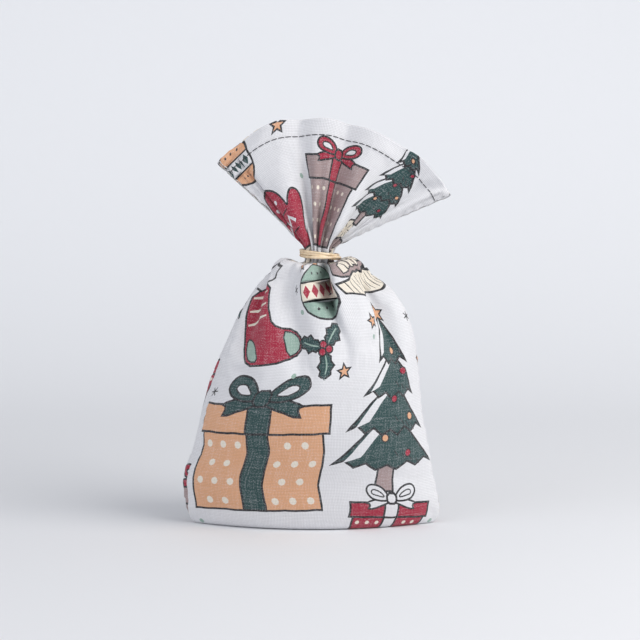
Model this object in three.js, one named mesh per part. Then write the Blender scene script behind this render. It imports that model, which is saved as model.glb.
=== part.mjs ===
// A small cloth pouch for a wardrobe or a drawer: two printed cotton panels sewn together at the sides and
// the bottom, a hemmed mouth that fans out above the neck, a rubber band wound round the gathered neck, and
// a loose filling. Millimetres, +Z up. The front faces -Y. The origin is on the table under the middle of
// the pouch.
import * as THREE from "three";

// Cloth, thread and the room between pieces
const clothThickness = 0.5;
const seamGap = 0.3; // between the two panels where a seam draws them together
const threadDiameter = 0.4;
const threadClearance = 0.3;
const fillingClearance = 0.7; // between the filling and the cloth that it lies on

// The body, from the table to the neck
const neckHeight = 113.4; // to the middle of the rubber band
const neckOffset = 1.7; // the neck stands this far to the right of the middle of the base
const baseWidth = 108;
const bodyDepth = 59;
const shoulderFold = 2.6; // how far the folds under the neck stand in and out
const fillingHeadroom = 6; // from the filling up to where the neck begins

// The gathered neck and the band on it
const neckRadius = 6.5; // to the outer folds
const neckCore = 1.9; // to the inner folds
const bandDiameter = 1.15;
const bandGap = 0.5; // between two turns of the band
const bandTurns = 3;
const bandClearance = 0.75; // between the band and the cloth, so that either can turn
const crossingShare = 0.2; // of the band's length, where its last turn climbs back over the others
const rampShare = 0.3; // of the crossing, where the band steps out over the other turns or back in

// The collar, the part of the panels above the neck
const collarReach = 57.5; // from the neck to the hem's fold
const fanLeft = THREE.MathUtils.degToRad(138.4); // directions of the two side seams, from +X
const fanRight = THREE.MathUtils.degToRad(24);
const collarFold = 2.7; // how far the folds stand forward and back at the hem
const mouthOpening = 2.4; // how far each layer stands off from the middle of the mouth
const hemWidth = 7.5;
const hemGap = 0.3; // between a panel and its turned-in hem
const flareClearance = 1; // from the band to where the cloth spreads out
const collarSeamStart = 26; // from the neck to where the layers stand apart and the seams' threads begin
const collarTilt = THREE.MathUtils.degToRad(12); // the collar tips this far forward and back
const tiltClearance = 0.3;

// The folds across a panel, from the left seam to the right one: where each is across the cloth, how far it
// stands back (1) or forward (-1), and how long the collar is there
const foldShares = [
  [0, 0, 0.995],
  [0.105, 1, 0.99],
  [0.245, -1, 1.02],
  [0.35, 1, 0.985],
  [0.44, -0.85, 0.99],
  [0.53, 0.85, 0.965],
  [0.635, -1, 0.98],
  [0.755, 1, 0.99],
  [0.895, -0.9, 1.03],
  [1, 0, 1.045],
];

// The body's sections, from the bottom seam out along the base and up to the shoulders: height, how far it
// reaches to the left and to the right, its depth, the depth of its folds, how pointed it is at its ends (1/2
// is an ellipse), and how far the left seam is turned to the front, in half turns
const bodyShares = [
  [0, 0.435, 0.426, 0, 0, 0.5, 0],
  [0, 0.454, 0.44, 0.27, 0, 0.9, 0],
  [0, 0.468, 0.454, 0.51, 0, 0.95, 0],
  [0.013, 0.487, 0.467, 0.62, 0, 0.9, 0.02],
  [0.062, 0.511, 0.483, 0.695, 0, 0.82, 0.064],
  [0.168, 0.521, 0.467, 0.77, 0, 0.72, 0.076],
  [0.291, 0.476, 0.44, 0.905, 0, 0.6, 0.1],
  [0.441, 0.436, 0.41, 1, 0, 0.53, 0.083],
  [0.591, 0.406, 0.4, 0.99, 0.1, 0.5, 0.14],
  [0.697, 0.357, 0.383, 0.905, 0.35, 0.5, 0.12],
  [0.794, 0.306, 0.351, 0.755, 0.75, 0.5, 0.067],
  [0.873, 0.245, 0.294, 0.6, 1.1, 0.5, 0.02],
  [0.93, 0.194, 0.227, 0.445, 1.1, 0.5, 0],
  [0.966, 0.126, 0.154, 0.31, 0.9, 0.5, 0],
];

// How finely the cloth is divided
const columnsPerFold = 3;
const fanRows = 6;
const hemTurnSteps = 4;
const hemRows = 2;
const bandSteps = 24;
const bandSides = 6;
const threadSides = 6;
const nudgeShare = 1e-3; // of a surface, a small step along it to find which way it faces

// Sizes that follow from those above
const threadInset = clothThickness / 2 + threadClearance + threadDiameter / 2;
const threadRoom = threadDiameter + 2 * threadClearance;
const neckMiddle = (neckRadius + neckCore) / 2;
const neckFold = (neckRadius - neckCore) / 2;
const neckOuter = neckRadius + clothThickness / 2;
const neckSplit = (neckOuter * Math.sin(collarTilt) + tiltClearance) / (1 + Math.cos(collarTilt));
const bandRadius = neckOuter + bandClearance + bandDiameter / 2;
const bandPitch = bandDiameter + bandGap;
const bandRise = (bandPitch * bandTurns * (1 - crossingShare)) / 2;
const bandHalfHeight = bandRise + bandDiameter / 2;
const shoulderHeight = neckHeight - bandHalfHeight - bandClearance;
const flareStart = bandHalfHeight + flareClearance;
const hemTurn = (clothThickness + hemGap) / 2;
const hemHalfSeam = clothThickness * 1.5 + hemGap + seamGap / 2;

const bodySections = [
  ...bodyShares.map(([height, left, right, depth, fold, point, turn]) => [
    height * neckHeight + clothThickness / 2,
    left * baseWidth,
    right * baseWidth,
    (depth * bodyDepth) / 2,
    fold * shoulderFold,
    point,
    turn * Math.PI,
  ]),
  ...[shoulderHeight, neckHeight - neckSplit].map((height) => [
    height,
    neckMiddle - neckOffset,
    neckMiddle + neckOffset,
    neckMiddle - seamGap / 2,
    neckFold,
    1 / 2,
    0,
  ]),
];
const spans = bodySections.length - 1;
const wallSection = bodyShares.findIndex(([height]) => height > 0) + 1; // clear of the base's round edge
const bodyRows = bodySections.flatMap((_, k) =>
  (k < wallSection || k === spans ? [k / spans] : [k / spans, (k + 1 / 2) / spans]));

// A closed solid through rings with as many points each. Its ends are strips from one half of the ring to
// the other, and an endless one joins its last ring to its first.
function loft(rings, endless = false) {
  const count = rings[0].length;
  const index = [];
  const quad = (a, b, c, d) => index.push(a, b, c, a, c, d);
  const steps = endless ? rings.length : rings.length - 1;
  for (let i = 0; i < steps; i++) {
    const here = i * count;
    const next = ((i + 1) % rings.length) * count;
    for (let j = 0; j < count; j++) {
      const k = (j + 1) % count;
      quad(here + j, here + k, next + k, next + j);
    }
  }
  const last = (rings.length - 1) * count;
  for (let j = 0; !endless && j < count / 2 - 1; j++) {
    const [a, b, c, d] = [j, j + 1, count - 2 - j, count - 1 - j];
    quad(d, c, b, a);
    quad(last + a, last + b, last + c, last + d);
  }
  const geometry = new THREE.BufferGeometry();
  const positions = rings.flat().flatMap((p) => p.toArray());
  geometry.setAttribute("position", new THREE.Float32BufferAttribute(positions, 3));
  geometry.setIndex(index);
  return facingOut(geometry);
}

// Turns a closed solid's faces round if they point in.
function facingOut(geometry) {
  const position = geometry.getAttribute("position");
  const index = geometry.index.array;
  const corner = (i) => new THREE.Vector3().fromBufferAttribute(position, index[i]);
  let volume = 0;
  for (let i = 0; i < index.length; i += 3) {
    volume += corner(i).dot(corner(i + 1).cross(corner(i + 2)));
  }
  for (let i = 0; volume < 0 && i < index.length; i += 3) {
    [index[i], index[i + 1]] = [index[i + 1], index[i]];
  }
  geometry.computeVertexNormals();
  return geometry;
}

// A curve through the rows of a table that never swings past them. t is 0 at the first and 1 at the last.
function along(rows, t) {
  const at = t * (rows.length - 1);
  const i = Math.min(Math.floor(at), rows.length - 2);
  const f = at - i;
  return rows[i].map((from, c) => {
    const step = (k) => rows[THREE.MathUtils.clamp(k + 1, 1, rows.length - 1)][c]
      - rows[THREE.MathUtils.clamp(k, 0, rows.length - 2)][c];
    const slope = (before, after) => (before * after > 0 ? (2 * before * after) / (before + after) : 0);
    const start = i === 0 ? step(0) : slope(step(i - 1), step(i));
    const end = i === rows.length - 2 ? step(i) : slope(step(i), step(i + 1));
    const rise = step(i);
    return from + f * (start + f * (3 * rise - 2 * start - end + f * (start + end - 2 * rise)));
  });
}

// The folds at u, from 0 at the left seam to 1 at the right one.
function foldAt(u) {
  const i = Math.max(1, foldShares.findIndex(([at]) => at >= u));
  const [before, after] = [foldShares[i - 1], foldShares[i]];
  const f = THREE.MathUtils.smoothstep(u, before[0], after[0]);
  const [, wave, reach] = before.map((value, c) => THREE.MathUtils.lerp(value, after[c], f));
  return { wave, reach };
}

// The columns across a panel, with one on each fold.
function columns() {
  const list = [0];
  for (let i = 1; i < foldShares.length; i++) {
    for (let k = 1; k <= columnsPerFold; k++) {
      list.push(THREE.MathUtils.lerp(foldShares[i - 1][0], foldShares[i][0], k / columnsPerFold));
    }
  }
  return list;
}

// The direction from the middle of the body to a place across a panel, round from the left.
function directionAt(side, u, t) {
  const turn = -side * along(bodySections, t).at(-1);
  return THREE.MathUtils.lerp(turn, Math.PI, u);
}

// The middle of a panel's cloth below the neck. side is -1 at the front and 1 at the back, and t runs from
// the bottom seam to the neck.
function bodyPoint(side, u, t) {
  const [height, left, right, depth, fold, point] = along(bodySections, t);
  const direction = directionAt(side, u, t);
  const across = -Math.cos(direction);
  const sine = Math.sin(direction);
  const bulge = Math.sign(sine) * Math.abs(sine) ** (2 * point);
  const apart = seamGap / 2 + clothThickness * (point - 1 / 2);
  const half = (left + right) / 2;
  const outward = new THREE.Vector2(across * depth, side * sine * half).normalize();
  const stand = side * foldAt(u).wave * fold;
  return new THREE.Vector3(
    (right - left) / 2 + across * half + outward.x * stand,
    side * (apart + bulge * depth) + outward.y * stand,
    height,
  );
}

// The middle of a panel's cloth above the neck, r from the middle of the band.
function collarPoint(side, u, r) {
  const { wave, reach } = foldAt(u);
  const ring = bodyPoint(side, u, 1);
  const angle = THREE.MathUtils.lerp(fanLeft, fanRight, u);
  const apart = hemHalfSeam + mouthOpening * Math.sqrt(Math.sin(Math.PI * u));
  const hem = new THREE.Vector3(
    neckOffset + reach * collarReach * Math.cos(angle),
    side * apart + wave * collarFold,
    neckHeight + reach * collarReach * Math.sin(angle),
  );
  ring.z = neckHeight + Math.min(r, flareStart);
  const share = Math.max(0, (r - flareStart) / (collarReach - flareStart));
  return ring.lerp(hem, share);
}

// A point of a surface, which way it faces there, and which way it runs upwards.
function frameAt(surface, side, u, v, top) {
  const [across, up] = [
    THREE.MathUtils.clamp(u, nudgeShare, 1 - nudgeShare),
    THREE.MathUtils.clamp(v, nudgeShare * top, top - nudgeShare * top),
  ];
  const right = surface(side, across + nudgeShare, up).sub(surface(side, across - nudgeShare, up));
  const rise = surface(side, across, up + nudgeShare * top).sub(surface(side, across, up - nudgeShare * top));
  const normal = right.cross(rise).multiplyScalar(-side).normalize();
  return { point: surface(side, u, v), normal, rise: rise.normalize() };
}

const bodyFrame = (side, u, t) => frameAt(bodyPoint, side, u, t, 1);
const collarFrame = (side, u, r) => frameAt(collarPoint, side, u, r, collarReach);

// A sheet of cloth from columns of rows, each with a point in the middle of the cloth and its facing.
function cloth(sheet) {
  const face = (rows, sign) =>
    rows.map(({ point, normal }) => point.clone().addScaledVector(normal, (sign * clothThickness) / 2));
  return loft(sheet.map((rows) => [...face(rows, 1), ...face(rows, -1).reverse()]));
}

// A panel from the bottom seam to the neck.
function panel(side) {
  return cloth(
    columns().map((u) => bodyRows.map((t) => bodyFrame(side, u, t))),
  );
}

// A panel above the neck, with its hem turned in at the mouth.
function collar(side) {
  const turnStart = collarReach - hemTurn;
  const climb = [neckSplit, ...Array.from({ length: fanRows + 1 }, (_, k) =>
    THREE.MathUtils.lerp(flareStart, turnStart, k / fanRows))];
  return cloth(
    columns().map((u) => {
      const rows = climb.map((r) => collarFrame(side, u, r));
      const { normal, rise } = rows.at(-1);
      for (let k = 1; k <= hemTurnSteps; k++) {
        const angle = (Math.PI * k) / hemTurnSteps;
        const point = collarPoint(side, u, turnStart)
          .addScaledVector(rise, hemTurn * Math.sin(angle))
          .addScaledVector(normal, hemTurn * (Math.cos(angle) - 1));
        const facing = normal.clone().multiplyScalar(Math.cos(angle)).addScaledVector(rise, Math.sin(angle));
        rows.push({ point, normal: facing });
      }
      for (let k = 1; k <= hemRows; k++) {
        const under = collarFrame(side, u, turnStart - ((hemWidth - hemTurn) * k) / hemRows);
        rows.push({
          point: under.point.addScaledVector(under.normal, -2 * hemTurn),
          normal: under.normal.negate(),
        });
      }
      return rows;
    }),
  );
}

// An unbroken tube through points. aside gives, at each point, a direction that its rings are turned to.
function tube(points, diameter, sides, aside, endless = false) {
  const last = points.length - 1;
  const rings = points.map((point, k) => {
    const before = points[endless ? (k + last) % points.length : Math.max(0, k - 1)];
    const after = points[endless ? (k + 1) % points.length : Math.min(last, k + 1)];
    const ahead = after.clone().sub(before).normalize();
    const up = ahead.clone().cross(aside(point)).normalize();
    const flat = up.clone().cross(ahead);
    return Array.from({ length: sides }, (_, j) => {
      const angle = (2 * Math.PI * j) / sides;
      return point
        .clone()
        .addScaledVector(flat, (diameter / 2) * Math.cos(angle))
        .addScaledVector(up, (diameter / 2) * Math.sin(angle));
    });
  });
  return loft(rings, endless);
}

const thread = (points) => tube(points, threadDiameter, threadSides, () => new THREE.Vector3(0, 1, 0));

// The thread inside a side seam, from the corner of the base to the shoulder. u is 0 on the left and 1 on
// the right.
function sideSeamThread(u) {
  const wall = bodyRows.filter((t) => t >= wallSection / spans && t < 1 - 1 / spans);
  return thread(wall.map((t) => {
    const [front, back] = [-1, 1].map((side) => bodyFrame(side, u, t));
    const middle = front.point.lerp(back.point, 1 / 2);
    const facing = front.normal.lerp(back.normal, 1 / 2).normalize();
    return middle.addScaledVector(facing, -threadInset);
  }));
}

// The thread inside the bottom seam, between the two side seams.
function bottomSeamThread() {
  const inner = columns().slice(2, -2);
  return thread(inner.map((u) => {
    const middle = bodyPoint(-1, u, 0).setY(0);
    return middle.setZ(middle.z + threadInset);
  }));
}

// The thread of a side seam above the neck, between the two layers of the collar and just inside their edges.
function collarSeamThread(u) {
  const end = collarReach - hemWidth - threadDiameter;
  const between = (across, r) => collarPoint(-1, across, r).lerp(collarPoint(1, across, r), 1 / 2);
  return thread(Array.from({ length: fanRows + 1 }, (_, k) => {
    const r = THREE.MathUtils.lerp(collarSeamStart, end, k / fanRows);
    const edge = between(u, r);
    const inward = between(1 / 2, r).sub(edge).setY(0).normalize();
    return edge.addScaledVector(inward, threadInset);
  }));
}

// The row of stitches that holds a hem, on the outside of the collar.
function hemThread(side) {
  const inner = columns().slice(1, -1);
  return thread(inner.map((u) => {
    const { point, normal } = collarFrame(side, u, collarReach - hemWidth + threadDiameter);
    return point.addScaledVector(normal, threadInset);
  }));
}

// The middle of the rubber band, s from 0 to 1 round its whole loop. It winds down in even turns and then
// climbs back over them behind the neck.
function bandPoint(s) {
  const angle = 2 * Math.PI * bandTurns * (s + crossingShare / 2) + Math.PI / 2;
  const down = 1 - crossingShare;
  const f = (s - down) / crossingShare;
  const climb = THREE.MathUtils.smoothstep(f, rampShare / 2, 1 - rampShare / 2);
  const height = s < down ? 1 - (2 * s) / down : 2 * climb - 1;
  const over = THREE.MathUtils.smoothstep(f, 0, rampShare) * THREE.MathUtils.smoothstep(1 - f, 0, rampShare);
  const radius = bandRadius + over * bandPitch;
  return new THREE.Vector3(radius * Math.cos(angle), radius * Math.sin(angle), height * bandRise);
}

function rubberBand() {
  const steps = bandTurns * bandSteps;
  const points = Array.from({ length: steps }, (_, k) => bandPoint(k / steps));
  console.log(`rubber_band: the least gap between its turns is ${leastGap(points).toFixed(2)} mm`);
  return tube(points, bandDiameter, bandSides, ({ x, y }) => new THREE.Vector3(x, y, 0), true);
}

// The least gap between two turns of the band, on the points of its middle line.
function leastGap(points) {
  const near = bandSteps / 2;
  let least = Infinity;
  points.forEach((a, i) =>
    points.forEach((b, k) => {
      const apart = Math.min(Math.abs(i - k), points.length - Math.abs(i - k));
      if (apart > near) least = Math.min(least, a.distanceTo(b) - bandDiameter);
    }),
  );
  return least;
}

// The loose filling, which fills the body up to the shoulders and leaves room for the seams.
function filling() {
  const inset = (u, t) => {
    const besideSeam = 1 - Math.min(u, 1 - u, t) / foldShares[1][0];
    return clothThickness / 2 + fillingClearance + threadRoom * Math.max(0, besideSeam);
  };
  const ring = (t) => {
    const half = (side) =>
      columns().map((u) => {
        const { point, normal } = bodyFrame(side, u, t);
        const pointed = Math.abs(Math.sin(directionAt(side, u, t)));
        const facing = normal.setY(normal.y * pointed).normalize();
        return point.addScaledVector(facing, -inset(u, t));
      });
    return [...half(-1), ...half(1).reverse()];
  };
  const height = (t) => bodyPoint(1, 0, t).z;
  const top = shoulderHeight - fillingHeadroom;
  const past = bodyRows.findIndex((t) => height(t) > top);
  const [below, above] = [bodyRows[past - 1], bodyRows[past]];
  const share = (top - height(below)) / (height(above) - height(below));
  const next = ring(above);
  const surface = ring(below).map((point, k) => point.lerp(next[k], share));
  return loft([...bodyRows.slice(0, past).map(ring), surface]);
}

const materials = {
  printedCotton: new THREE.MeshStandardMaterial({ color: 0xe6e6e9, roughness: 0.9, metalness: 0 }),
  darkThread: new THREE.MeshStandardMaterial({ color: 0x4a4b50, roughness: 0.8, metalness: 0 }),
  whiteThread: new THREE.MeshStandardMaterial({ color: 0xe4e2dc, roughness: 0.8, metalness: 0 }),
  rubber: new THREE.MeshStandardMaterial({ color: 0xdcc09a, roughness: 0.55, metalness: 0 }),
  filling: new THREE.MeshStandardMaterial({ color: 0x8f86a0, roughness: 1, metalness: 0 }),
};

function piece(name, geometry, material) {
  const mesh = new THREE.Mesh(geometry, material);
  mesh.name = name;
  return mesh;
}

const pouch = new THREE.Group();
pouch.add(
  piece("front_panel", panel(-1), materials.printedCotton),
  piece("back_panel", panel(1), materials.printedCotton),
  piece("front_collar", collar(-1), materials.printedCotton),
  piece("back_collar", collar(1), materials.printedCotton),
  piece("left_seam_thread", sideSeamThread(0), materials.whiteThread),
  piece("right_seam_thread", sideSeamThread(1), materials.whiteThread),
  piece("bottom_seam_thread", bottomSeamThread(), materials.whiteThread),
  piece("left_collar_seam_thread", collarSeamThread(0), materials.whiteThread),
  piece("right_collar_seam_thread", collarSeamThread(1), materials.whiteThread),
  piece("front_hem_thread", hemThread(-1), materials.darkThread),
  piece("back_hem_thread", hemThread(1), materials.darkThread),
  piece("filling", filling(), materials.filling),
);

const band = piece("rubber_band", rubberBand(), materials.rubber);
band.position.set(neckOffset, 0, neckHeight);
pouch.add(band);

// The origin moves to the middle of the pouch's box, on the table.
const box = new THREE.Box3().setFromObject(pouch, true);
const middle = box.getCenter(new THREE.Vector3());
pouch.position.set(-middle.x, -middle.y, -box.min.z);

export default pouch;
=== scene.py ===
"""A filled cotton pouch with a gathered neck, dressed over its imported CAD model."""

import functools
import itertools
import math

import bpy
import numpy as np
from bpy.props import FloatProperty, FloatVectorProperty, IntProperty, PointerProperty
from bpy.types import Operator, Panel, PropertyGroup
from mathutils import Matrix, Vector, noise
from mathutils.geometry import delaunay_2d_cdt


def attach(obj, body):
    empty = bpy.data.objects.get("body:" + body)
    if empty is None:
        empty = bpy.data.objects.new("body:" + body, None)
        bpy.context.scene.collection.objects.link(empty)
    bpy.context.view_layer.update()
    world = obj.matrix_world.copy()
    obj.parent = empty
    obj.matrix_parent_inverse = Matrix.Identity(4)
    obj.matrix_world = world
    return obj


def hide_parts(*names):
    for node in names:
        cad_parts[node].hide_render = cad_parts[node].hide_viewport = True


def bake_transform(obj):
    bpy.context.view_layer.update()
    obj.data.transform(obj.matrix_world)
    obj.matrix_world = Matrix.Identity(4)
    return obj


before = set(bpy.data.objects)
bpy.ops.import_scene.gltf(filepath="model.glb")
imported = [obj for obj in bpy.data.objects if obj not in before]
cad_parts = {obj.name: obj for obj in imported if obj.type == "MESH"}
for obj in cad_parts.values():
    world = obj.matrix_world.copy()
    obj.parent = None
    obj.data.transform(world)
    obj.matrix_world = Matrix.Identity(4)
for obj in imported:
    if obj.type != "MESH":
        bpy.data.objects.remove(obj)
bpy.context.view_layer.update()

bl_info = {
    "name": "Cotton Pouch",
    "version": (1, 0, 0),
    "blender": (4, 5, 0),
    "location": "3D View > Sidebar > Pouch",
    "description": "Sews, prints, fills and ties a small cotton pouch",
    "category": "Add Mesh",
}

MM = 0.001


def linear(code):
    """The linear colour of an sRGB hex code."""
    parts = [int(code[i:i + 2], 16) / 255 for i in (1, 3, 5)]
    return tuple(v / 12.92 if v <= 0.04045 else ((v + 0.055) / 1.055) ** 2.4 for v in parts)


def length(title, about, millimetres):
    return FloatProperty(name=title, description=about, default=millimetres * MM, min=0,
                         unit="LENGTH")


def slope(title, about, degrees):
    return FloatProperty(name=title, description=about, default=math.radians(degrees),
                         subtype="ANGLE")


def colour(title, about, code):
    return FloatVectorProperty(name=title, description=about, default=linear(code),
                               subtype="COLOR", min=0, max=1)


class PouchClothSizes(PropertyGroup):
    """The cut of the two cotton panels and how they are gathered."""

    width: length("Panel width", "Width of each panel between its side seams", 120)
    body: length("Body length", "Cloth from the bottom seam to the neck", 142)
    collar: length("Collar length", "Cloth from the neck to the fold of the hem", 57.5)
    hem: length("Hem width", "How far the hem is turned in at the mouth", 7.5)
    hem_room: length("Hem fold", "Between the middles of the hem's two layers", 0.9)
    thickness: length("Cloth thickness", "Thickness of the woven cotton", 0.4)
    # Real threads lie 0.5 mm apart. They are drawn coarser, so that the weave shows in a picture
    thread_spacing: length("Thread spacing", "Between two threads of the weave, as drawn", 0.66)
    neck: length("Neck radius", "Radius of the gathered neck, to its outer folds", 7.2)
    lean: length("Neck offset", "How far the neck stands to the right of the middle", 1.6)


class PouchStitchSizes(PropertyGroup):
    """The sewing threads."""

    pitch: length("Stitch length", "From one stitch of the hem to the next", 3)
    gap: length("Stitch gap", "Between two stitches, where the thread is in the cloth", 0.45)
    thread: length("Thread diameter", "Diameter of the sewing thread", 0.36)


class PouchBandSizes(PropertyGroup):
    """The rubber band round the neck."""

    turns: IntProperty(name="Turns", description="How often the band goes round the neck",
                       default=3, min=1, max=6)
    strand_height: length("Strand height", "Height of one strand of the band", 1.12)
    strand_depth: length("Strand depth", "Thickness of one strand of the band", 1.0)
    tilt: slope("Tilt", "How far the band slopes down to the right", 4.5)


class PouchColours(PropertyGroup):
    """Cloth, inks, threads, rubber and flowers."""

    white: colour("White", "Bleached cotton", "#e3e3e6")
    charcoal: colour("Charcoal", "Ink of the outlines", "#2b2b2e")
    green: colour("Dark green", "Ink of firs, bows and mugs", "#2f4c4c")
    sage: colour("Sage", "Ink of baubles", "#98b2a6")
    red: colour("Deep red", "Ink of mittens and stockings", "#a62b42")
    peach: colour("Peach", "Ink of the big parcels", "#e0aa84")
    taupe: colour("Taupe", "Ink of the knitted hats", "#a59190")
    cream: colour("Cream", "Ink of cuffs and dots", "#ece3d4")
    hem_thread: colour("Hem thread", "Thread of the hem", "#3c3d42")
    seam_thread: colour("Seam thread", "Thread of the seams", "#e2e0d8")
    rubber: colour("Rubber", "Uncoloured natural rubber", "#ead4b2")
    flowers: colour("Flowers", "Dried lavender", "#6f6384")


class PouchStage(PropertyGroup):
    """The floor and the camera."""

    floor: colour("Floor", "Colour of the floor and the backdrop", "#e2e3e6")
    backdrop_glow: FloatProperty(
        name="Backdrop glow", description="How much paler the camera sees the backdrop",
        default=0.24, min=0, max=1)
    distance: length("Camera distance", "From the camera to the pouch", 800)
    view_width: length("View width", "Width of the picture at the pouch", 268.8)
    view_middle: length("View middle", "Height of the picture's middle at the pouch", 86)
    elevation: slope("Elevation", "How far the camera looks down", 4.5)


class PouchSettings(PropertyGroup):
    """Everything about the pouch that can be set."""

    cloth: PointerProperty(type=PouchClothSizes)
    stitches: PointerProperty(type=PouchStitchSizes)
    band: PointerProperty(type=PouchBandSizes)
    colours: PointerProperty(type=PouchColours)
    stage: PointerProperty(type=PouchStage)


def settings():
    return bpy.context.scene.pouch


def in_mm(group, *names):
    """Some of a group's lengths, in millimetres."""
    return [getattr(group, name) / MM for name in names]


# The cloth's shape, in millimetres

ROUND = 0.5  # for a section that isn't pointed at its seams

# The body's level sections, from the bottom seam out along the base and up to the shoulders:
# height, reach to the left and to the right, depth, depth of the folds, and how pointed the
# section is at its seams
BODY_SECTIONS = np.array([
    (0, 47.0, 46.0, 0, 0, 1),
    (0, 49.0, 47.5, 8.0, 0, 1),
    (0, 50.8, 49.2, 15.0, 0, 0.95),
    (1.5, 52.8, 51.0, 18.0, 0, 0.9),
    (7.0, 55.3, 52.6, 19.8, 0, 0.82),
    (19.1, 56.4, 50.4, 21.7, 0, 0.72),
    (33.0, 51.4, 47.5, 25.0, 0, 0.6),
    (50.0, 47.1, 44.3, 27.2, 0, 0.53),
    (67.0, 43.6, 43.0, 27.2, 0.2, ROUND),
    (79.0, 37.6, 41.0, 25.0, 0.65, ROUND),
    (90.0, 31.6, 36.8, 21.4, 1.6, ROUND),
    (99.0, 25.2, 30.6, 17.0, 2.6, ROUND),
    (104.8, 20.4, 24.0, 13.8, 2.7, ROUND),
    (108.4, 16.6, 18.6, 12.0, 2.4, ROUND),
    (110.6, 11.4, 12.6, 10.3, 2.0, ROUND),
])
# How far the left seam is turned to the front, by height, in radians
SEAM_TURN = np.array([
    (0, 0), (3, 0.12), (10, 0.26), (20, 0.24), (34, 0.32), (42, 0.24), (55, 0.27), (62, 0.4),
    (70, 0.47), (79, 0.38), (87, 0.26), (97, 0.1), (104, 0),
])
SEAM_GAP = 0.15  # from the middle plane to the middle of a panel, at the seams
SHOULDER_PUFF = 1.1  # how far the cloth is puffed up beside the band

NECK_HEIGHT = 113.4
NECK_CLEARANCE = 3.1  # the cloth is straight this far below and above the middle of the band
NECK_FOLD = 2.4
FINE_PLEATS = 9  # across a panel, where the band presses it together
PLEAT_VALLEY = 0.22  # how blunt their valleys are
BAG_PLEAT, BAG_PLEAT_RUN = 2.1, 8  # their depth below the neck, and how far they run down
FAN_PLEAT, FAN_PLEAT_RUN = 1.5, 12  # the same above the neck, where they run up
FAN_RIPPLE = 0.5  # what is left of them in the middle of the fan

# The main folds from the left seam to the right one: place across, back (1) or forward (-1),
# and the collar's length there
MAIN_FOLDS = np.array([
    (0, 0, 0.995), (0.105, 1, 0.99), (0.245, -1, 1.02), (0.35, 1, 0.985), (0.44, -0.85, 0.99),
    (0.53, 0.85, 0.965), (0.635, -1, 0.98), (0.755, 1, 0.99), (0.895, -0.9, 1.03), (1, 0, 1.045),
])
SUNKEN_FOLD = MAIN_FOLDS[4, 0]  # this one sinks behind the next ones, near the neck
FAN_FOLD = 2.3  # depth of the main folds in the fan
FAN_DIRECTIONS = np.radians((138.4, 24.0))  # of the two side seams above the neck, from +X

CLOTH_STEP = 1.5  # between two rows or columns of the cloth's net


def smooth(x, start, end):
    """0 before start, 1 after end, and even between them."""
    share = np.clip((x - start) / (end - start), 0, 1)
    return share * share * (3 - 2 * share)


def hump(x, middle, reach):
    """1 in the middle, and falling away on both sides."""
    return np.exp(-(((x - middle) / reach) ** 2))


def unit(vectors, least=1e-9):
    """The same directions, one long."""
    return vectors / np.maximum(np.linalg.norm(vectors, axis=-1), least)[..., None]


def along(rows, t):
    """A curve through the rows of a table that never swings past them."""
    last = len(rows) - 1
    at = np.asarray(t, float) * last
    i = np.clip(at.astype(int), 0, last - 1)
    share = (at - i)[..., None]
    rise = np.diff(rows, axis=0)
    before, after = rise[:-1], rise[1:]
    total = np.where(before + after == 0, 1, before + after)
    inner = np.where(before * after > 0, 2 * before * after / total, 0)
    slopes = np.concatenate([rise[:1], inner, rise[-1:]])
    start, end, step = slopes[i], slopes[i + 1], rise[i]
    bend = 3 * step - 2 * start - end + share * (start + end - 2 * step)
    return rows[i] + share * (start + share * bend)


def main_fold(u):
    """How far the main folds stand back, in sharp valleys, or forward, and the collar's length."""
    i = np.clip(np.searchsorted(MAIN_FOLDS[:, 0], u), 1, len(MAIN_FOLDS) - 1)
    left, right = MAIN_FOLDS[i - 1], MAIN_FOLDS[i]
    turn = (u - left[..., 0]) / (right[..., 0] - left[..., 0]) * math.pi / 2
    share = np.where(right[..., 1] > left[..., 1], 1 - np.cos(turn), np.sin(turn))[..., None]
    between = left + (right - left) * share
    return between[..., 1], between[..., 2]


def pleats(u, side):
    """Fine pleats, from -1 in a sharp valley to 1 on a round ridge."""
    turn = math.pi * (FINE_PLEATS * u + 0.35 * np.sin(5 * math.pi * u) + 0.25 * side)
    blunt = PLEAT_VALLEY**2
    return 2 * np.sqrt(np.sin(turn) ** 2 + blunt) / math.sqrt(1 + blunt) - 1


def body_point(side, u, t):
    """The cloth below the neck: side is -1 in front, u runs across from the left seam, and t up
    from the bottom."""
    neck, lean = in_mm(settings().cloth, "neck", "lean")
    core = neck - NECK_FOLD
    straight = [(height, core - lean, core + lean, core, NECK_FOLD, ROUND)
                for height in (NECK_HEIGHT - NECK_CLEARANCE, NECK_HEIGHT)]
    rows = along(np.concatenate([BODY_SECTIONS, straight]), t)
    z, left, right, depth, fold, point = np.moveaxis(rows, -1, 0)
    half = (left + right) / 2
    turn = np.interp(z, *SEAM_TURN.T)
    start = -turn if side > 0 else turn
    angle = start + (math.pi - start) * u
    across, sine = -np.cos(angle), np.sin(angle)
    bulge = np.sign(sine) * np.abs(sine) ** (2 * point)
    out_x, out_y = across * depth, side * sine * half
    size = np.hypot(out_x, out_y) + 1e-9
    down = NECK_HEIGHT - z
    near = hump(down, 0, BAG_PLEAT_RUN)
    z = z + SHOULDER_PUFF * across**2 * hump(down, 2.5, 4) * smooth(half, 8, 11)
    # The main folds give way to the pleats near the neck, and are shallower beside the left seam
    out = side * main_fold(u)[0] * fold * (1 - 0.85 * near) * (0.35 + 0.65 * smooth(u, 0, 0.28))
    out = out + near * pleats(u, side) * BAG_PLEAT * np.abs(np.sin(math.pi * u)) ** 0.2
    x = (right - left) / 2 + across * half + out_x / size * out
    return np.stack([x, side * (SEAM_GAP + bulge * depth) + out_y / size * out, z + 0 * u], -1)


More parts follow.
